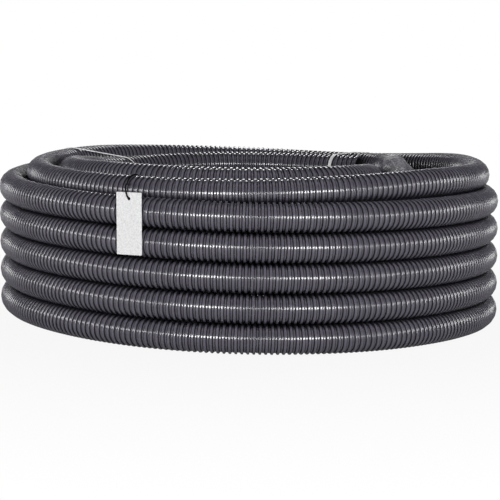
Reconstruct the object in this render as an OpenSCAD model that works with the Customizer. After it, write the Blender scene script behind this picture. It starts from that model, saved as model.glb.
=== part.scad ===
// Coil of ribbed waste-water hose, tied with two straps, with a swing tag.
// Millimetres, Z up, origin on the floor at the coil's axis, front towards -Y.

/* [Hose] */
// Outside diameter over the ribs
hose_od = 46; // [42:0.5:50]
// Outside diameter between the ribs
hose_root = 41; // [40:0.5:41.5]
// Inside diameter, for 1 1/2 inch spigots
hose_bore = 38; // [34:0.5:39]
// Distance from rib to rib
rib_pitch = 9; // [8:0.25:12]
// Width of a rib's flat crest
rib_crest = 5; // [3:0.25:6]
// Number of ribs on each straight cut end
end_ribs = 6; // [6:1:8]

/* [Coil] */
// Radius of the inner column of turns, at the hose's axis
inner_column = 299; // [285:1:330]
// Gap that the modelled tube leaves between touching turns
turn_gap = 1; // [0.8:0.1:1.5]

/* [Straps] */
// Width of a strap
strap_w = 6; // [4:0.5:10]
// Thickness of a strap
strap_t = 1; // [0.6:0.1:1.2]
// Place of the right strap, in degrees from +X
right_strap_angle = 56.5; // [55.5:0.1:57.5]
// Distance of the left strap's plane behind the coil's axis
left_strap_back = 150; // [140:1:160]

/* [Tag] */
// Width of the tag
tag_w = 42; // [30:1:50]
// Height of the tag
tag_h = 93; // [60:1:100]
// Thickness of the tag
tag_t = 0.8; // [0.5:0.1:1]
// Radius of the tag's corners
tag_corner = 1.5; // [0.5:0.25:3]
// Diameter of the string's hole
hole_d = 5; // [4.5:0.25:6]
// Distance from the tag's top edge to the hole's middle
hole_drop = 9.5; // [8:0.5:11]
// Place of the tag, in degrees from +X
tag_angle = 244.8; // [240:0.2:250]
// Diameter of the string
string_d = 2.2; // [1.4:0.1:2.4]

/* [Hidden] */

clearance = 0.3;
far = 1000;

// Section of the wound tube: six sides with a corner up, so that turns rest on each other
coil_sides = 6;
run_sides = 8;
tube_r = (hose_od - turn_gap) / 2;
floor_cut = hose_od / 10;
floor_axis = tube_r - floor_cut;
row_step = hose_od;
column_step = hose_od;

// The winding from the inner end to the outer end: angle in degrees from +X, counter-clockwise
// from above, then the column (0 inner, 2 outer) and the row (0 on the floor, 5 on top)
ROUTE = [
    // the inner end lies along the back, the left and the front, on top
    [68, -0.45, 4.7], [85, -0.38, 4.73], [100, -0.4, 4.76], [130, -0.6, 4.74], [150, -0.62, 4.74],
    [180, -0.15, 5.05], [225, 0, 5.19], [270, 0.1, 5.12], [300, -0.35, 5.09],
    // it bends in at the right, drops and joins the inner column
    [325, -1.45, 4.97], [350, -2.4, 4.66], [390, -2.6, 4.25],
    [430, -1.9, 4], [470, -1.25, 3.94], [510, -0.95, 3.87], [540, -0.3, 3.85], [615, 0, 3.81],
    // the inner column winds down, and the middle column winds up from the floor
    [1986, 0, 0], [2076, 1, 0], [2436, 1, 0.99], [3510, 1, 3.945], [3530, 1, 4.02],
    // one loose turn over the right, then the top turn moves outwards
    [3545, 0.74, 4.31], [3560, 0.1, 4.64], [3575, -0.62, 4.79], [3600, -1.25, 4.98], [3620, -0.8, 4.93],
    [3634, 0.12, 4.8], [3647, 1.04, 4.7], [3665, 1.03, 4.68], [3690, 1, 4.83],
    [3740, 1, 5.11], [3760, 1, 5.08], [3780, 1, 5.04], [3800, 1.06, 4.97], [3825, 1.12, 4.9],
    [3845, 1.2, 4.875], [3870, 1.27, 4.86], [3890, 1.35, 4.94], [3915, 1.45, 5.03],
    [3943, 1.6, 4.98], [3960, 1.72, 4.91],
    // the outer column winds down to the floor, and its end lifts a little
    [4005, 2, 4.875], [5650, 2, 0.35], [5715, 2, 0], [5735, 2, 0], [5750, 2, 0.118], [5850, 2, 0.118]
];
COLUMN = [for (k = ROUTE) [k[0], k[1]]];
ROW = [for (k = ROUTE) [k[0], k[2]]];
ease = 4;
run_start = 68;
run_end = 251;
coil_end = 5760;
// Every turn of the outer column settles by a share of a row, by its place round the coil
SETTLE = [
    [0, 0.1], [12, 0.14], [25, 0.08], [40, -0.1], [52, -0.21], [62, -0.23], [76, -0.17], [92, -0.05],
    [105, 0], [180, 0.05], [225, 0], [245, -0.05], [270, -0.09], [300, -0.09], [330, -0.04],
    [348, 0.04], [360, 0.1]
];
SETTLED = [[3925, 0], [3950, 1], [5650, 1], [5715, 0]];
ring_step = 15;
bore_step = 5;

// Steady between the stations, rounded where the rate changes
function eased(a, table) =
    let (parts = [for (k = [-2:2]) lookup(a + k * ease, table)])
    (parts[0] + parts[1] + parts[2] + parts[3] + parts[4]) / 5;
function turn_radius(a) = inner_column + column_step * eased(a, COLUMN);
function settle(a) = lookup(a, SETTLED) * lookup(a % 360, SETTLE);
function turn_height(a) = floor_axis + row_step * (eased(a, ROW) + settle(a));
function turn_point(a) =
    [turn_radius(a) * cos(a), turn_radius(a) * sin(a), turn_height(a)];
function unit(v) = v / norm(v);
function path_length(p) =
    len(p) < 2 ? 0 : [for (i = 1, s = 0; i <= len(p); s = s + (i < len(p) ?
        norm(p[i] - p[i - 1]) : 0), i = i + 1) s][len(p) - 1];

// The ribbed run and the wound tube meet square in the middle of a short straight
half_straight = asin(hose_od / turn_radius(run_end));
straight_in = turn_point(run_end - half_straight);
straight_out = turn_point(run_end + half_straight);
junction = (straight_in + straight_out) / 2;
run_first = turn_point(run_start);
run_way = unit(turn_point(run_start + 1) - run_first);
run_mouth = run_first - hose_od * run_way;

coil_bend_end = turn_point(coil_end);
coil_way = unit(turn_point(coil_end + 1) - coil_bend_end);
coil_last = coil_bend_end + hose_od * coil_way;
coil_path = concat(
    [junction, straight_out],
    [for (a = [270 : ring_step : coil_end]) turn_point(a)],
    [coil_last]
);

// Two rings a rib, from the straight at the cut end to the straight at the junction
half_rib = rib_pitch / 2;
lead_steps = round(hose_od / half_rib);
bend_angles = run_end - half_straight - run_start;
bend_points = [for (k = [0 : 60]) turn_point(run_start + bend_angles * k / 60)];
bend_steps = 2 * round(path_length(bend_points) / rib_pitch);
function run_path(steps_in, steps_bend) = concat(
    [for (k = [0 : steps_in - 1]) run_mouth + (run_first - run_mouth) * k / steps_in],
    [for (k = [0 : steps_bend]) turn_point(run_start + bend_angles * k / steps_bend)],
    [for (k = [1 : steps_in]) straight_in + (junction - straight_in) * k / steps_in]
);
rib_path = run_path(lead_steps, bend_steps);
bore_path = run_path(1, round(bend_angles / bore_step));

// Least gap between turns: six-sided sections at one angle, measured across their flats
function section_gap(p, q) =
    let (dr = norm([q[0], q[1]]) - norm([p[0], p[1]]), dz = q[2] - p[2])
    max([for (k = [0:5]) cos(60 * k) * dr + sin(60 * k) * dz]) - 2 * tube_r * cos(30);
turn_rings = 360 / ring_step;
rings = [for (i = [2 : len(coil_path) - 2]) coil_path[i]];
least_gap = min([
    for (i = [0 : len(rings) - 1])
        for (j = [i + turn_rings : turn_rings : len(rings) - 1])
            section_gap(rings[i], rings[j])
]);
hose_length = path_length(coil_path) + path_length(rib_path) + 2 * end_ribs * rib_pitch;
echo(least_gap_between_turns = least_gap, hose_length = hose_length, ribs = len(rib_path) / 2);

// Where the straight stretch between two rings passes an angle: distance from the axis, height
function straight_strand(a) =
    let (
        start = turn_point(floor(a / ring_step) * ring_step),
        stretch = turn_point((floor(a / ring_step) + 1) * ring_step) - start,
        out = [cos(a), sin(a), 0],
        share = -cross(start, out)[2] / cross(stretch, out)[2],
        p = start + stretch * share
    )
    [p * out, p[2]];

// A tube along a path, one radius a point, with flat ends square to its first and last stretch
function way(p, i) = unit(p[min(i + 1, len(p) - 1)] - p[max(i - 1, 0)]);
function ring(centre, along, radius, sides) =
    let (side = unit(cross(along, [0, 0, 1])), up = cross(side, along))
    [for (k = [0 : sides - 1])
        let (a = 90 + 360 * k / sides)
        centre + radius * (cos(a) * side + sin(a) * up)];
module tube(path, radii, sides) {
    last = (len(path) - 1) * sides;
    points = [for (i = [0 : len(path) - 1]) each ring(path[i], way(path, i), radii[i], sides)];
    walls = [
        for (i = [0 : len(path) - 2]) for (k = [0 : sides - 1])
            let (a = i * sides + k, b = i * sides + (k + 1) % sides)
            each [[a, b, b + sides], [a, b + sides, a + sides]]
    ];
    first_end = [for (k = [1 : sides - 2]) [0, k + 1, k]];
    last_end = [for (k = [1 : sides - 2]) [last, last + k, last + k + 1]];
    polyhedron(points, concat(walls, first_end, last_end), convexity = 20);
}

// Points a straight piece's own Z along a direction
module aim(at, along) {
    translate(at)
        rotate([0, acos(along[2]), atan2(along[1], along[0])])
            children();
}

// A straight ribbed end with its true bore, from its joint at z = 0 to its open mouth
module ribbed_end() {
    flank = (rib_pitch - rib_crest) / 4;
    rib_edge = [
        for (k = [0 : end_ribs - 1]) each [
            [hose_root / 2, k * rib_pitch + flank],
            [hose_od / 2, k * rib_pitch + 2 * flank],
            [hose_od / 2, k * rib_pitch + 2 * flank + rib_crest],
            [hose_root / 2, k * rib_pitch + 3 * flank + rib_crest]
        ]
    ];
    long = end_ribs * rib_pitch;
    rotate_extrude($fn = 48)
        polygon(concat(
            [[hose_bore / 2, 0], [hose_root / 2, 0]],
            rib_edge,
            [[hose_root / 2, long], [hose_bore / 2, long]]
        ));
}

module hose_coil() {
    slot_deep = strap_lift + strap_t + clearance;
    color("dimgray")
        difference() {
            tube(coil_path, [for (p = coil_path) tube_r], coil_sides);
            translate([-far, -far, -far])
                cube([2 * far, 2 * far, far]);
            translate([-far, left_strap_back - strap_w / 2 - clearance, -1])
                cube([far, strap_w + 2 * clearance, slot_deep + 1]);
        }
}

module hose_free_run() {
    rib_radii = [for (i = [0 : len(rib_path) - 1]) (i % 2 == 0 ? hose_root : hose_od) / 2];
    bore_r = hose_bore / 2;
    color("dimgray")
        difference() {
            tube(rib_path, rib_radii, run_sides);
            tube(bore_path, [for (p = bore_path) bore_r], run_sides);
        }
}

module hose_inner_end() {
    color("dimgray") aim(run_mouth, -run_way) ribbed_end();
}

module hose_outer_end() {
    color("dimgray") aim(coil_last, coil_way) ribbed_end();
}

// A strap lies round every stretch of hose that passes its place, and under them along the floor.
// Its plane stands at an angle from +X, moved sideways by a shift
strap_lift = clearance;
strap_room = 2 * clearance;
bundle_inside = inner_column - 1.1 * column_step;
function turned(p, a) = [p[0] * cos(a) + p[1] * sin(a), p[1] * cos(a) - p[0] * sin(a), p[2]];
function strap_turns(path, angle, shift) = [
    for (i = [0 : len(path) - 2])
        let (p = turned(path[i], angle), q = turned(path[i + 1], angle))
        for (edge = [-strap_w / 2, strap_w / 2])
            let (
                share = (shift + edge - p[1]) / (q[1] - p[1]),
                at = p + (q - p) * share,
                stretch = norm(q - p) / abs(q[1] - p[1])
            )
            if (share >= -0.05 && share <= 1.05 && at[0] > 0 && norm([at[0], at[1]]) > bundle_inside)
                [at[0], at[2], stretch]
];
module bundle(turns, grow, lowest) {
    intersection() {
        hull()
            for (t = turns)
                translate([t[0], t[1]])
                    scale([t[2], 1])
                        circle(d = hose_od + 2 * grow, $fn = 32);
        translate([-far, lowest]) square([2 * far, far]);
    }
}
module strap(angle, shift) {
    end_path = [run_mouth - run_way * end_ribs * rib_pitch, run_mouth];
    turns = concat(
        strap_turns(end_path, angle, shift),
        strap_turns(rib_path, angle, shift),
        strap_turns(coil_path, angle, shift)
    );
    color("white")
        rotate([0, 0, angle])
            translate([0, shift, 0])
                rotate([90, 0, 0])
                    linear_extrude(strap_w, center = true)
                        difference() {
                            bundle(turns, strap_room + strap_t, strap_lift);
                            bundle(turns, strap_room, strap_lift + strap_t);
                        }
}
module right_strap() {
    strap(right_strap_angle, 0);
}
module left_strap() {
    strap(180, -left_strap_back);
}

// The tag hangs flat against the outer column, from a string round the top turn
tag_face = inner_column + 2 * column_step + hose_od / 2 + 2 * clearance;
top_turn = tag_angle + 3600;
string_r = string_d / 2;
wrap_r = tube_r + 2 * clearance + string_r;
string_turn = -4;
string_row = straight_strand(top_turn + string_turn);
next_row = straight_strand(top_turn + 360);
pivot_z = next_row[1] + hose_od / 2 + 1;
hole_z = pivot_z - (hole_d / 2 - string_r - clearance);
tag_top = hole_z + hole_drop;
string_face = tag_face + tag_t + string_r + clearance;

module tag() {
    color("white")
        rotate([0, 0, tag_angle])
            translate([tag_face, 0, hole_z])
                rotate([90, 0, 90])
                    linear_extrude(tag_t)
                        difference() {
                            translate([-tag_w / 2, hole_drop - tag_h]) tag_outline();
                            circle(d = hole_d, $fn = 32);
                        }
}
module tag_outline() {
    translate([tag_corner, 0]) square([tag_w - 2 * tag_corner, tag_h]);
    translate([0, tag_corner]) square([tag_w, tag_h - 2 * tag_corner]);
    for (x = [tag_corner, tag_w - tag_corner])
        for (y = [tag_corner, tag_h - tag_corner])
            translate([x, y]) circle(r = tag_corner, $fn = 32);
}

// Round the top turn, over the next one, through the hole and up the tag's face again:
// distance from the coil's axis, shift along the hose, height
function wrap_point(turn, a) =
    let (row = straight_strand(top_turn + turn), out = row[0] + wrap_r * cos(a))
    [out * cos(turn), out * sin(turn), row[1] + wrap_r * sin(a)];
string_path = concat(
    [for (a = [30 : 60 : 270]) wrap_point(string_turn, a)],
    [for (a = [150, 90]) wrap_point(360 + string_turn * (a - 60) / 100, a)],
    [
        [tag_face - 2, 0, pivot_z],
        [string_face + 0.2, 0, pivot_z],
        [string_face, -2.5, pivot_z + 8],
        [string_face, -3, pivot_z + 18.5]
    ]
);
module tag_string() {
    sides = run_sides;
    count = len(string_path);
    points = [
        for (i = [0 : count - 1])
            let (
                along = unit(string_path[(i + 1) % count] - string_path[(i + count - 1) % count]),
                side = unit([0, 1, 0] - along * along[1]),
                up = cross(side, along)
            )
            for (k = [0 : sides - 1])
                string_path[i] + string_r * (cos(360 * k / sides) * side + sin(360 * k / sides) * up)
    ];
    walls = [
        for (i = [0 : count - 1]) for (k = [0 : sides - 1])
            let (
                n = (k + 1) % sides,
                j = (i + 1) % count,
                a = i * sides + k,
                b = i * sides + n
            )
            each [[a, b, j * sides + n], [a, j * sides + n, j * sides + k]]
    ];
    color("black") rotate([0, 0, tag_angle]) polyhedron(points, walls, convexity = 10);
}

hose_coil();
hose_free_run();
hose_inner_end();
hose_outer_end();
right_strap();
left_strap();
tag_string();
tag();
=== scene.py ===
"""Looks of the coiled ribbed hose: the camera, the hose and its string, straps, tag, light and floor."""
from math import cos, pi, radians, sin

import bpy
import numpy as np
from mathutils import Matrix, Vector


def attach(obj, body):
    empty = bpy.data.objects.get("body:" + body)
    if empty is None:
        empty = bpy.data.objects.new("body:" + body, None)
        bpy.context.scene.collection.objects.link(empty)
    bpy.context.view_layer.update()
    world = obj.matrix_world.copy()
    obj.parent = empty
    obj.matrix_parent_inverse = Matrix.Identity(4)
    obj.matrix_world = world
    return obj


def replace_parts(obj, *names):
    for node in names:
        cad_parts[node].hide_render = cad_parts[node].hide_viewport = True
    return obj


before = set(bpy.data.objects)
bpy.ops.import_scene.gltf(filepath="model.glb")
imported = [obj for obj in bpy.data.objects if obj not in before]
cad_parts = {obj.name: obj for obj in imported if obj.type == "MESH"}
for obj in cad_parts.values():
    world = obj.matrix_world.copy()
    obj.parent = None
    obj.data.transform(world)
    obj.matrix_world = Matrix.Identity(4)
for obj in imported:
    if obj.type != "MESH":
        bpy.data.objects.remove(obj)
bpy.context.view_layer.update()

# Lengths of the object are in millimetres, lengths of the scene around it in metres
MM = 0.001

# Camera
CAMERA_PLACE = (0.0018, -3.146, 0.5035)
CAMERA_PITCH = 7.04
CAMERA_LENS = 135.8
SENSOR = 36.0
CLIP_END = 50

cam_data = bpy.data.cameras.new("camera")
cam_data.lens = CAMERA_LENS
cam_data.sensor_width = SENSOR
cam_data.clip_end = CLIP_END
camera = bpy.data.objects.new("camera", cam_data)
camera.location = CAMERA_PLACE
camera.rotation_euler = (radians(90 - CAMERA_PITCH), 0, 0)
bpy.context.scene.collection.objects.link(camera)
bpy.context.scene.camera = camera

# The hose and its winding: columns count outwards from the inner one, rows upwards from the floor
HOSE_OD = 46.0
HOSE_BORE = 38.0
RIB_PITCH = 8.75
INNER_COLUMN = 299.0
COLUMN_STEP = 46.0
FLOOR_AXIS = 23.0
ROW_STEP = 45.3
RUN_START = 68.0
COIL_END = 5760.0
END_STRAIGHT = 100.0
# The route is eased on a grid of angles, and the axis has a point at every step of an angle
EASE = 5.0
GRID_STEP = 0.5
GRID_END = 5900.0
AXIS_STEP = 1.0
END_POINTS = 11
# The direction of the axis is taken between points this far ahead and behind
SIGHT = 6.0

# Stations of the route: angle in degrees from +X, counter-clockwise from above, column and row
ROUTE = [
    # the inner end lies along the back, the left and the front, on top
    (68, -0.45, 4.7), (85, -0.38, 4.73), (100, -0.4, 4.76), (130, -0.6, 4.74), (150, -0.62, 4.74),
    (180, -0.15, 5.05), (225, 0, 5.19), (270, 0.1, 5.12), (300, -0.35, 5.09),
    # it bends in at the right, drops and joins the inner column
    (325, -1.45, 4.97), (350, -2.4, 4.66), (390, -2.6, 4.25),
    (430, -1.9, 4), (470, -1.25, 3.94), (510, -0.95, 3.87), (540, -0.3, 3.85), (615, 0, 3.81),
    # the inner column winds down, and the middle column winds up from the floor
    (1986, 0, 0), (2076, 1, 0), (2436, 1, 0.99), (3510, 1, 3.945), (3530, 1, 4.02),
    # one loose turn over the right, then the top turn moves outwards
    (3545, 0.74, 4.31), (3560, 0.1, 4.64), (3575, -0.62, 4.79), (3600, -1.25, 4.98), (3620, -0.8, 4.93),
    (3634, 0.12, 4.8), (3647, 1.04, 4.7), (3665, 1.03, 4.68), (3690, 1, 4.83),
    (3740, 1, 5.11), (3760, 1, 5.08), (3780, 1, 5.04), (3800, 1.06, 4.97), (3825, 1.12, 4.9),
    (3845, 1.2, 4.86), (3870, 1.27, 4.85), (3890, 1.35, 4.91), (3915, 1.45, 4.98),
    (3943, 1.6, 4.95), (3960, 1.72, 4.9),
    # the outer column winds down to the floor
    (4005, 2, 4.875), (5650, 2, 0.306), (5700, 2, 0.1), (5735, 2, 0.02), (5755, 2, 0.005), (5850, 2, 0.005),
]
# Every turn of the outer column settles by a share of a row, by its place round the coil
SETTLE = [
    (0, -0.03), (14, 0.03), (25, 0), (40, -0.15), (52, -0.23), (65, -0.21), (80, -0.1), (95, -0.02),
    (110, 0), (140, 0.02), (180, 0.05), (225, 0), (245, -0.05), (270, -0.09), (300, -0.09),
    (330, -0.06), (360, -0.03),
]
SETTLED = [(3925, 0), (3950, 1), (5650, 1), (5715, 0)]


def eased(plain):
    """Values on the grid of angles, rounded where their rate changes."""
    reach = np.arange(-4 * EASE, 4 * EASE + GRID_STEP / 2, GRID_STEP)
    weight = np.exp(-0.5 * (reach / EASE) ** 2)
    padded = np.pad(plain, len(reach) // 2, mode="edge")
    return np.convolve(padded, weight / weight.sum(), mode="valid")


def winding():
    """The grid of angles, with the column and the row of the hose's axis at each."""
    angle = np.arange(0.0, GRID_END, GRID_STEP)
    stations = np.array(ROUTE, dtype=float)
    place, share = np.array(SETTLE, dtype=float).T
    start, reached = np.array(SETTLED, dtype=float).T
    settle = np.interp(np.mod(angle, 360), place, share) * np.interp(angle, start, reached)
    column = np.interp(angle, stations[:, 0], stations[:, 1])
    row = np.interp(angle, stations[:, 0], stations[:, 2]) + settle
    return angle, eased(column), eased(row)


GRID, COLUMN, ROW = winding()


def strand(angle):
    """Distance of the hose's axis from the coil's axis and its height, at an angle in degrees."""
    column = np.interp(angle, GRID, COLUMN)
    row = np.interp(angle, GRID, ROW)
    return INNER_COLUMN + COLUMN_STEP * column, FLOOR_AXIS + ROW_STEP * row


def hose_axis():
    """Points of the hose's axis from its inner mouth to its outer mouth, with a straight at each end."""
    angle = np.arange(RUN_START, COIL_END + AXIS_STEP / 2, AXIS_STEP)
    r, z = strand(angle)
    turn = np.radians(angle)
    bend = np.stack([r * np.cos(turn), r * np.sin(turn), z], axis=1)
    first = bend[0] - bend[1]
    last = bend[-1] - bend[-2]
    first = first / np.linalg.norm(first)
    last = last / np.linalg.norm(last)
    steps = np.linspace(0, END_STRAIGHT, END_POINTS + 1)[1:, None]
    return np.concatenate([(bend[0] + first * steps)[::-1], bend, bend[-1] + last * steps])


def distances(line):
    """Distance along a line to each of its points."""
    return np.concatenate([[0], np.cumsum(np.linalg.norm(np.diff(line, axis=0), axis=1))])


def points_at(s, along, line):
    """Points of a line at distances along it."""
    return np.stack([np.interp(s, along, line[:, k]) for k in range(3)], axis=1)


AXIS = hose_axis()
ALONG = distances(AXIS)
HOSE_LENGTH = ALONG[-1]


def unit_rows(v):
    return v / np.linalg.norm(v, axis=1)[:, None]


def axis_at(s):
    """Points and directions of the hose's axis at distances along it."""
    ahead = points_at(s + SIGHT, ALONG, AXIS)
    behind = points_at(s - SIGHT, ALONG, AXIS)
    return points_at(s, ALONG, AXIS), unit_rows(ahead - behind)


def distance_at(angle):
    """Distance along the hose from its inner mouth to an angle of the winding."""
    return np.interp((angle - RUN_START) / AXIS_STEP + END_POINTS, np.arange(len(ALONG)), ALONG)


# Meshes
def spokes(side, up, sides):
    """Unit vectors round each point of an axis, from its two cross directions."""
    turn = 2 * pi * np.arange(sides) / sides
    spread = np.cos(turn)[None, :, None] * side[:, None, :]
    return spread + np.sin(turn)[None, :, None] * up[:, None, :]


def tube_rings(at, way, radius, sides):
    """Rings of points round an axis that never stands upright."""
    side = unit_rows(np.cross(way, (0, 0, 1)))
    up = np.cross(side, way)
    return at[:, None, :] + radius[:, None, None] * spokes(side, up, sides)


def wall_faces(rings, sides):
    """Quads between rings that follow each other, and a face over each end."""
    i = np.arange(rings - 1)[:, None] * sides
    k = np.arange(sides)[None, :]
    n = (k + 1) % sides
    quads = np.stack([i + k, i + sides + k, i + sides + n, i + n], axis=2).reshape(-1, 4)
    first = list(range(sides))
    last = [(rings - 1) * sides + j for j in reversed(first)]
    return quads.tolist() + [first, last]


def mesh_object(name, points, faces, materials, smooth=True, slots=None):
    """A piece from points in millimetres, with a material slot for each face if slots are given."""
    mesh = bpy.data.meshes.new(name)
    mesh.from_pydata((np.asarray(points) * MM).tolist(), [], faces)
    for material in materials:
        mesh.materials.append(material)
    if slots is not None:
        mesh.polygons.foreach_set("material_index", np.asarray(slots, dtype=np.int32))
    mesh.polygons.foreach_set("use_smooth", [smooth] * len(mesh.polygons))
    mesh.update()
    piece = bpy.data.objects.new(name, mesh)
    bpy.context.scene.collection.objects.link(piece)
    return piece


# Materials
GRAIN_LOW, GRAIN_HIGH = 0.3, 0.7
GRAIN_DETAIL = 4
RELIEF = 0.0002
# Samples of the shade painted into the hose's crevices, and the occlusion over which it fades in
CREVICE_SAMPLES = 12
CREVICE_DEEP, CREVICE_OPEN = 0.25, 0.85


def ramp(tree, value, low, high, at_low, at_high):
    """A value carried from one range to another, and held at both ends."""
    node = tree.nodes.new("ShaderNodeMapRange")
    node.inputs["From Min"].default_value = low
    node.inputs["From Max"].default_value = high
    node.inputs["To Min"].default_value = at_low
    node.inputs["To Max"].default_value = at_high
    tree.links.new(value, node.inputs["Value"])
    return node.outputs["Result"]


def painted_crevice_shade(tree, colour, reach, least):
    """Painted shade where the wall comes close to itself: the colour falls to its least share there."""
    near = tree.nodes.new("ShaderNodeAmbientOcclusion")
    near.only_local = True
    near.samples = CREVICE_SAMPLES
    near.inputs["Distance"].default_value = reach
    shaded = tree.nodes.new("ShaderNodeMix")
    shaded.data_type = "RGBA"
    shaded.blend_type = "MULTIPLY"
    shaded.inputs["Factor"].default_value = 1.0
    tree.links.new(colour, shaded.inputs["A"])
    share = ramp(tree, near.outputs["AO"], CREVICE_DEEP, CREVICE_OPEN, least, 1.0)
    tree.links.new(share, shaded.inputs["B"])
    return shaded.outputs["Result"]


def grained(name, dark, light, rough, scale, bump, specular=0.5, crevice_shade=None):
    """A material whose colour and gloss vary with a fine grain, with a bump from the same grain."""
    material = bpy.data.materials.new(name)
    material.use_nodes = True
    tree = material.node_tree
    shader = tree.nodes["Principled BSDF"]
    shader.inputs["Specular IOR Level"].default_value = specular
    place = tree.nodes.new("ShaderNodeTexCoord")
    grain = tree.nodes.new("ShaderNodeTexNoise")
    grain.inputs["Scale"].default_value = scale
    grain.inputs["Detail"].default_value = GRAIN_DETAIL
    tree.links.new(place.outputs["Object"], grain.inputs["Vector"])
    tint = tree.nodes.new("ShaderNodeValToRGB")
    tint.color_ramp.elements[0].position = GRAIN_LOW
    tint.color_ramp.elements[1].position = GRAIN_HIGH
    tint.color_ramp.elements[0].color = (*dark, 1)
    tint.color_ramp.elements[1].color = (*light, 1)
    tree.links.new(grain.outputs["Fac"], tint.inputs["Fac"])
    colour = tint.outputs["Color"]
    if crevice_shade:
        colour = painted_crevice_shade(tree, colour, *crevice_shade)
    tree.links.new(colour, shader.inputs["Base Color"])
    gloss = ramp(tree, grain.outputs["Fac"], GRAIN_LOW, GRAIN_HIGH, *rough)
    tree.links.new(gloss, shader.inputs["Roughness"])
    relief = tree.nodes.new("ShaderNodeBump")
    relief.inputs["Strength"].default_value = bump
    relief.inputs["Distance"].default_value = RELIEF
    tree.links.new(grain.outputs["Fac"], relief.inputs["Height"])
    tree.links.new(relief.outputs["Normal"], shader.inputs["Normal"])
    return material


# The hose's plastic is duller on the edges of its ribs, and has shade painted into its colour in its crevices
HOSE_DARK = (0.086, 0.08, 0.102)
HOSE_LIGHT = (0.108, 0.101, 0.128)
# How near the wall is to itself where the shade is painted, in metres, and the least share of its colour
# there
CREVICE_SHADE = (0.014, 0.1)
HOSE_LOOK = grained("hose_plastic", HOSE_DARK, HOSE_LIGHT, (0.13, 0.19), 60, 0.05, 0.9, CREVICE_SHADE)
EDGE_LOOK = grained("hose_edge", HOSE_DARK, HOSE_LIGHT, (0.23, 0.29), 60, 0.05, 0.9, CREVICE_SHADE)
# Painted shade: the faces in the grooves are near black, standing in for the shade that falls there
GROOVE_SHADE_LOOK = grained("hose_groove_shade", (0.006, 0.006, 0.007), (0.012, 0.011, 0.013), (0.45, 0.6), 60, 0.08, 0.2)
# Painted shade: the bore and its closed end are much darker than the wall, standing in for the shade inside
# the mouths
BORE_SHADE_LOOK = grained("hose_bore", (0.02, 0.02, 0.022), (0.03, 0.03, 0.032), (0.35, 0.5), 60, 0.08, 0.3)
STRAP_LOOK = grained("strap_plastic", (0.74, 0.74, 0.74), (0.82, 0.82, 0.82), (0.35, 0.5), 400, 0.15)
TAG_LOOK = grained("tag_card", (0.58, 0.58, 0.585), (0.77, 0.77, 0.775), (0.6, 0.8), 420, 0.25, 0.3)
STRING_LOOK = grained("string_cord", (0.002, 0.002, 0.002), (0.006, 0.006, 0.006), (0.7, 0.9), 900, 0.4, 0.1)

# The hose's material slots; the groove slot is near black, painted shade in the grooves
HOSE_LOOKS = (HOSE_LOOK, GROOVE_SHADE_LOOK, BORE_SHADE_LOOK, EDGE_LOOK)
WALL, SHADED_GROOVE, BORE, EDGE = range(len(HOSE_LOOKS))

# One pitch of the wall, a rib and then the lower web beside it: share of the pitch, radius, slot
FULL_RIB = [
    (0.0, 19.6, SHADED_GROOVE), (0.04, 21.3, EDGE), (0.08, 22.5, EDGE), (0.12, 22.93, WALL), (0.17, 23.0, WALL),
    (0.39, 23.0, WALL), (0.44, 22.93, EDGE), (0.48, 22.5, EDGE), (0.52, 21.3, SHADED_GROOVE), (0.56, 19.6, SHADED_GROOVE),
    (0.62, 20.4, WALL), (0.68, 20.5, WALL), (0.88, 20.5, WALL), (0.94, 20.4, SHADED_GROOVE),
]
# The turns that nothing shows, between two angles of the winding, have a plainer rib
PLAIN_RIB = [
    (0.0, 19.8, SHADED_GROOVE), (0.12, 21.6, WALL), (0.36, 22.9, WALL), (0.64, 22.9, WALL), (0.88, 21.6, SHADED_GROOVE),
]
HIDDEN_FROM = 545.0
HIDDEN_TO = 3330.0
HOSE_SIDES = 18
CUT_RADIUS = 20.4
BORE_DEPTH = 160.0
BORE_RINGS = 14
BORE_TIP = 0.5


def hose():
    """The whole hose as one tube, with its ribs, its two mouths and a stretch of bore behind each."""
    ribs = int(HOSE_LENGTH // RIB_PITCH)
    pitch = HOSE_LENGTH / ribs
    plain_low, plain_high = distance_at(HIDDEN_FROM), distance_at(HIDDEN_TO)
    wall = []
    for k in range(ribs):
        hidden = plain_low < k * pitch < plain_high
        for share, r, slot in (PLAIN_RIB if hidden else FULL_RIB):
            wall.append(((k + share) * pitch, r, slot))
    bore = HOSE_BORE / 2
    depths = np.linspace(BORE_DEPTH, 0, BORE_RINGS)
    mouth = [(BORE_DEPTH, BORE_TIP, BORE)]
    mouth += [(d, bore, BORE) for d in depths[:-1]]
    mouth.append((0, bore, WALL))
    far_mouth = [(HOSE_LENGTH, CUT_RADIUS, WALL)]
    far_mouth += [(HOSE_LENGTH - d, bore, BORE) for d in depths[::-1]]
    far_mouth.append((HOSE_LENGTH - BORE_DEPTH, BORE_TIP, BORE))
    rings = np.array(mouth + wall + far_mouth)
    at, way = axis_at(rings[:, 0])
    points = tube_rings(at, way, rings[:, 1], HOSE_SIDES).reshape(-1, 3)
    faces = wall_faces(len(rings), HOSE_SIDES)
    slots = np.append(np.repeat(rings[:-1, 2].astype(int), HOSE_SIDES), [BORE, BORE])
    return mesh_object("hose", points, faces, HOSE_LOOKS, slots=slots)


hose_piece = hose()
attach(hose_piece, "coil")
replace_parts(hose_piece, "hose_coil", "hose_free_run", "hose_inner_end", "hose_outer_end")

# The tag's string: up from the tag's hole, round the top turn, over the next one and back to the hole
TAG_ANGLE = 244.8
TAG_FACE = 414.6
TAG_THICK = 0.8
PIVOT_Z = 238.721
TOP_TURN = TAG_ANGLE + 3600
STRING_D = 2.8
STRING_SIDES = 12
STRING_STEP = 0.8
STRING_LAY = 7.0
STRANDS = 3
STRAND_DEPTH = 0.1
STRING_CLEAR = 0.2
STRING_SINK = 0.2
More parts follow.
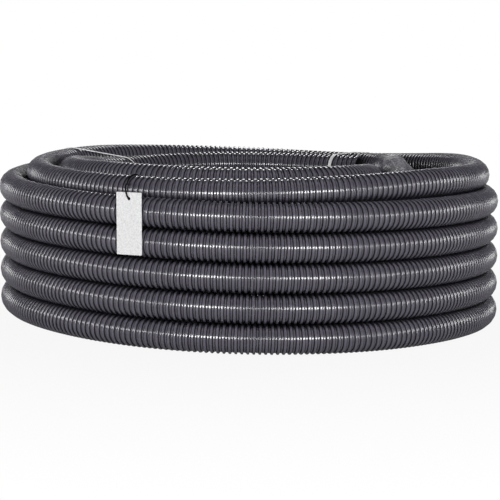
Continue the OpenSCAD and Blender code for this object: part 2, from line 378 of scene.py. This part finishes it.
# In front of the tag: distance from where it lies on the face, shift along the hose, height over the hole
STRING_FRONT = [
    (0, -0.6, 0.8), (0, -3, 5.5), (0, -4.4, 11), (0, -4.4, 16.5), (-3, -5, 20.2), (-18, -11.5, 19),
]
# Behind the tag: distance from the tag's back, shift along the hose, height over the hole
STRING_BACK = [(-4, 0, 0.4), (-0.4, 0, 0)]
# Round the hose: degrees round its section, from the front and down behind, and then over the next turn
WRAP_ANGLES = range(30, 290, 20)
WRAP_TURN = -4.0
OVER_ANGLES = range(118, 61, -18)
OVER_END = 60
OVER_SPAN = 100
# Points that the curve has between two stations
CURVE_POINTS = 24


def wrap_station(turn, a):
    """A station on the hose's surface: degrees along the winding from the tag, degrees round the hose."""
    wrap = HOSE_OD / 2 + STRING_D / 2 - STRING_SINK
    r, z = strand(TOP_TURN + turn)
    out = r + wrap * cos(radians(a))
    return out * cos(radians(turn)), out * sin(radians(turn)), z + wrap * sin(radians(a))


def string_stations():
    """Stations of the string: distance from the coil's axis, shift along the hose, height."""
    face = TAG_FACE + TAG_THICK + STRING_D / 2 + STRING_CLEAR
    line = [(TAG_FACE - STRING_CLEAR, 0, PIVOT_Z)]
    line += [(face + out, shift, PIVOT_Z + up) for out, shift, up in STRING_FRONT]
    line += [wrap_station(WRAP_TURN, a) for a in WRAP_ANGLES]
    line += [wrap_station(360 + WRAP_TURN * (a - OVER_END) / OVER_SPAN, a) for a in OVER_ANGLES]
    line += [(TAG_FACE + out, shift, PIVOT_Z + up) for out, shift, up in STRING_BACK]
    return np.array(line)


def smooth_line(stations, step):
    """A smooth curve through stations with points a step apart, and the distance to each."""
    ends = np.concatenate([2 * stations[:1] - stations[1:2], stations, 2 * stations[-1:] - stations[-2:-1]])
    u = np.linspace(0, 1, CURVE_POINTS, endpoint=False)[:, None]
    parts = []
    for a, b, c, d in zip(ends[:-3], ends[1:-2], ends[2:-1], ends[3:]):
        parts.append(b + 0.5 * u * (c - a + u * (2 * a - 5 * b + 4 * c - d + u * (3 * (b - c) + d - a))))
    line = np.concatenate(parts + [stations[-1:]])
    along = distances(line)
    s = np.linspace(0, along[-1], int(along[-1] / step) + 1)
    return points_at(s, along, line), s


def from_tag_place(local):
    """Points given from the coil's axis at the tag's place, carried into the part's frame."""
    c, s = cos(radians(TAG_ANGLE)), sin(radians(TAG_ANGLE))
    x = local[:, 0] * c - local[:, 1] * s
    y = local[:, 0] * s + local[:, 1] * c
    return np.stack([x, y, local[:, 2]], axis=1)


def string():
    """A cord of twisted strands, and the line that it follows."""
    line, far = smooth_line(from_tag_place(string_stations()), STRING_STEP)
    ends = np.concatenate([line[:1], line, line[-1:]])
    way = unit_rows(ends[2:] - ends[:-2])
    across = np.array([-sin(radians(TAG_ANGLE)), cos(radians(TAG_ANGLE)), 0])
    side = unit_rows(across[None, :] - way * (way @ across)[:, None])
    up = np.cross(side, way)
    turn = 2 * pi * np.arange(STRING_SIDES) / STRING_SIDES
    twist = STRANDS * turn[None, :] - 2 * pi * far[:, None] / STRING_LAY * STRANDS
    radius = STRING_D / 2 * (1 - STRAND_DEPTH + STRAND_DEPTH * np.cos(twist))
    points = (line[:, None, :] + radius[:, :, None] * spokes(side, up, STRING_SIDES)).reshape(-1, 3)
    faces = wall_faces(len(line), STRING_SIDES)
    return mesh_object("tag_cord", points, faces, (STRING_LOOK,)), line


string_piece, string_path = string()
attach(string_piece, "coil")
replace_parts(string_piece, "tag_string")

# Straps: each lies round every stretch of hose that passes its plane, and along the floor
STRAP_W = 6.0
STRAP_T = 1.0
STRAP_ROOM = 0.1
STRAP_LIFT = 0.2
STRAP_STEP = 3.0
BUNDLE_INSIDE = 248.0
RIGHT_STRAP_ANGLE = 56.5
LEFT_STRAP_ANGLE = 180.0
LEFT_STRAP_BACK = 150.0


def strap_sections(turn, shift):
    """Where the hose passes a strap's plane: distance along the plane, height, stretch of its section."""
    c, s = cos(radians(turn)), sin(radians(turn))
    x = AXIS[:, 0] * c + AXIS[:, 1] * s
    y = AXIS[:, 1] * c - AXIS[:, 0] * s - shift
    near = (y[:-1] * y[1:] <= 0) & (x[:-1] > 0) & (np.hypot(x, y + shift)[:-1] > BUNDLE_INSIDE)
    i = np.nonzero(near)[0]
    share = y[i] / (y[i] - y[i + 1])
    at_x = x[i] + share * (x[i + 1] - x[i])
    at_z = AXIS[i, 2] + share * (AXIS[i + 1, 2] - AXIS[i, 2])
    stretch = np.linalg.norm(AXIS[i + 1] - AXIS[i], axis=1) / np.abs(y[i + 1] - y[i])
    return at_x, at_z, stretch


def strap(name, turn, shift):
    """A band round the outline of the sections, in a plane turned from +X and moved sideways."""
    at_x, at_z, stretch = strap_sections(turn, shift)
    out = np.radians(np.arange(0, 360, STRAP_STEP))
    c_out, s_out = np.cos(out)[:, None], np.sin(out)[:, None]
    reach = np.hypot(stretch[None, :] * c_out, s_out)
    radius = HOSE_OD / 2 + STRAP_ROOM
    held = np.argmax(at_x * c_out + at_z * s_out + radius * reach, axis=1)
    row = np.arange(len(out))
    c_out, s_out, reach = c_out[:, 0], s_out[:, 0], reach[row, held]
    x = at_x[held] + radius * stretch[held] ** 2 * c_out / reach
    z = at_z[held] + radius * s_out / reach
    c, s = cos(radians(turn)), sin(radians(turn))
    lines = []
    for grow, across in ((0, -1), (STRAP_T, -1), (STRAP_T, 1), (0, 1)):
        px = x + grow * c_out
        pz = np.maximum(z + grow * s_out, STRAP_LIFT + STRAP_T - grow)
        py = np.full(len(px), shift + across * STRAP_W / 2)
        lines.append(np.stack([px * c - py * s, px * s + py * c, pz], axis=1))
    count = len(out)
    faces = []
    for k in range(count):
        n = (k + 1) % count
        for j in range(4):
            m = (j + 1) % 4
            faces.append([j * count + k, m * count + k, m * count + n, j * count + n])
    piece = mesh_object(name, np.concatenate(lines), faces, (STRAP_LOOK,), smooth=False)
    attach(piece, "coil")
    return piece


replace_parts(strap("strap_right", RIGHT_STRAP_ANGLE, 0), "right_strap")
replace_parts(strap("strap_left", LEFT_STRAP_ANGLE, -LEFT_STRAP_BACK), "left_strap")

# The tag is the part's own solid
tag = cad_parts["tag"]
tag.data.materials.clear()
tag.data.materials.append(TAG_LOOK)

# Lamps
COIL_MIDDLE = (0, 0, 0.14)
COIL_TOP = (0, 0, 0.2)


def area_light(name, place, target, size, power):
    """A rectangular lamp that faces a target: metres and watts."""
    data = bpy.data.lights.new(name, "AREA")
    data.shape = "RECTANGLE"
    data.size, data.size_y = size
    data.energy = power
    light = bpy.data.objects.new(name, data)
    light.location = place
    light.rotation_euler = (Vector(target) - Vector(place)).to_track_quat("-Z", "Y").to_euler()
    bpy.context.scene.collection.objects.link(light)


area_light("front_left", (-0.89, -2.81, 0.62), COIL_MIDDLE, (1.1, 0.6), 40)
area_light("front_right", (1.3, -2.65, 0.62), COIL_MIDDLE, (1.25, 0.6), 40)
area_light("side_left", (-1.66, -0.54, 0.52), COIL_MIDDLE, (2.4, 0.2), 9)
area_light("side_right", (1.77, -0.15, 0.48), COIL_MIDDLE, (2.2, 0.28), 8)
area_light("top_back", (0, 2.0, 1.5), COIL_TOP, (1.3, 0.4), 14)
area_light("overhead", (0, -0.6, 2.6), COIL_MIDDLE, (2.0, 1.2), 3)

# The white background
ROOM_LIGHT = 0.04
BACKDROP_EDGE = 0.93
FLOOR_SIZE = 30
FLOOR_DROP = 0.0002
FLOOR_GREY = 0.35
# Distances from the coil's axis, with the share of white at each: as the camera sees the floor, and mirrored
SHADOW_FADE = (0.45, 1.2, 0.92, 1.0)
MIRRORED_FADE = (0.4, 2.5, 0.1, 1.0)


def math_node(tree, operation, first, second):
    node = tree.nodes.new("ShaderNodeMath")
    node.operation = operation
    tree.links.new(first, node.inputs[0])
    tree.links.new(second, node.inputs[1])
    return node.outputs["Value"]


def lit_white(tree, plain, white, share):
    """White for the camera's rays, and for reflected ones by a share; the plain shader lights the object."""
    seen = tree.nodes.new("ShaderNodeLightPath").outputs
    mirrored = math_node(tree, "MAXIMUM", seen["Is Glossy Ray"], seen["Is Transmission Ray"])
    shown = math_node(tree, "MULTIPLY", mirrored, share)
    mix = tree.nodes.new("ShaderNodeMixShader")
    tree.links.new(math_node(tree, "MAXIMUM", seen["Is Camera Ray"], shown), mix.inputs["Fac"])
    tree.links.new(plain, mix.inputs[1])
    tree.links.new(white, mix.inputs[2])
    return mix.outputs["Shader"]


def glowing(tree, kind, strength):
    """A white background or emission shader."""
    node = tree.nodes.new(kind)
    node.inputs["Color"].default_value = (1, 1, 1, 1)
    node.inputs["Strength"].default_value = strength
    return node.outputs[0]


def room():
    """A dim room in front, with the white backdrop behind the object."""
    world = bpy.data.worlds.new("world")
    bpy.context.scene.world = world
    world.use_nodes = True
    tree = world.node_tree
    tree.nodes.clear()
    dim = glowing(tree, "ShaderNodeBackground", ROOM_LIGHT)
    white = glowing(tree, "ShaderNodeBackground", 1.0)
    heading = tree.nodes.new("ShaderNodeSeparateXYZ")
    place = tree.nodes.new("ShaderNodeTexCoord")
    tree.links.new(place.outputs["Generated"], heading.inputs["Vector"])
    backdrop = ramp(tree, heading.outputs["Y"], BACKDROP_EDGE, 1.0, 0.0, 1.0)
    output = tree.nodes.new("ShaderNodeOutputWorld")
    tree.links.new(lit_white(tree, dim, white, backdrop), output.inputs["Surface"])


def white_floor():
    """A white floor that keeps a light shadow under the coil and fades into the background."""
    bpy.ops.mesh.primitive_plane_add(size=FLOOR_SIZE, location=(0, 0, -FLOOR_DROP))
    floor = bpy.context.object
    floor.name = "floor"
    look = bpy.data.materials.new("floor")
    look.use_nodes = True
    tree = look.node_tree
    tree.nodes.clear()
    matte = tree.nodes.new("ShaderNodeBsdfDiffuse")
    matte.inputs["Color"].default_value = (FLOOR_GREY, FLOOR_GREY, FLOOR_GREY, 1)
    distance = tree.nodes.new("ShaderNodeVectorMath")
    distance.operation = "LENGTH"
    place = tree.nodes.new("ShaderNodeTexCoord")
    tree.links.new(place.outputs["Object"], distance.inputs[0])
    shade = tree.nodes.new("ShaderNodeMixShader")
    tree.links.new(ramp(tree, distance.outputs["Value"], *SHADOW_FADE), shade.inputs["Fac"])
    tree.links.new(matte.outputs["BSDF"], shade.inputs[1])
    tree.links.new(glowing(tree, "ShaderNodeEmission", 1.0), shade.inputs[2])
    mirrored = ramp(tree, distance.outputs["Value"], *MIRRORED_FADE)
    output = tree.nodes.new("ShaderNodeOutputMaterial")
    seen = lit_white(tree, matte.outputs["BSDF"], shade.outputs["Shader"], mirrored)
    tree.links.new(seen, output.inputs["Surface"])
    floor.data.materials.append(look)


room()
white_floor()

scene = bpy.context.scene
scene.view_settings.view_transform = "Standard"
scene.view_settings.look = "None"
scene.view_settings.exposure = 0
scene.view_settings.gamma = 1
